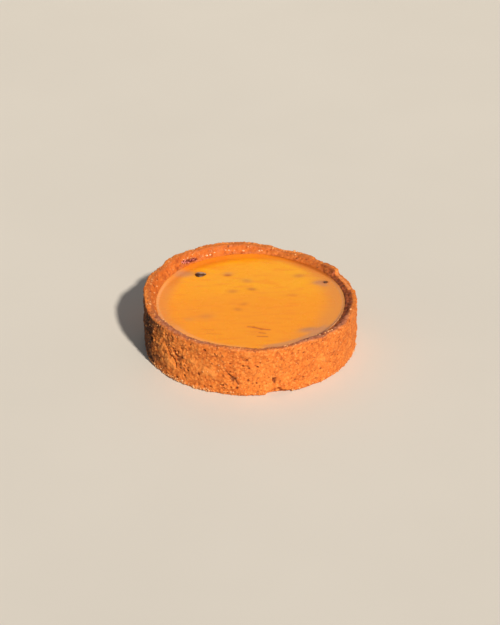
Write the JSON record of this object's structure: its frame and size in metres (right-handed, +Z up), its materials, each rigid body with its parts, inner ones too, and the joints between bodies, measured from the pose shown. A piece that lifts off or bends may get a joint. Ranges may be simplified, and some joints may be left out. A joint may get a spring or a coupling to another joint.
{
  "type": "custard tart",
  "caption": "Round straight-sided tart: a crumbly shortcrust case with an uneven rim, filled with smooth set custard in which dark fruit seeds lie.",
  "frame": {"origin": "centre of the flat underside of the pastry case", "axes": "+Z up out of the custard, +X towards the broken stretch of the rim, -Y towards the side with the notch in its foot"},
  "size_m": [0.0805, 0.0803, 0.0224],
  "materials": {
    "pastry_case": "golden brown baked shortcrust, matte and pebbly, a little moist on the inside of the rim",
    "custard_filling": "smooth glossy orange-yellow custard with dark seeds"
  },
  "bodies": {
    "root": {"pastry_case": "pastry_case", "custard_filling": "custard_filling"}
  },
  "joints": []
}
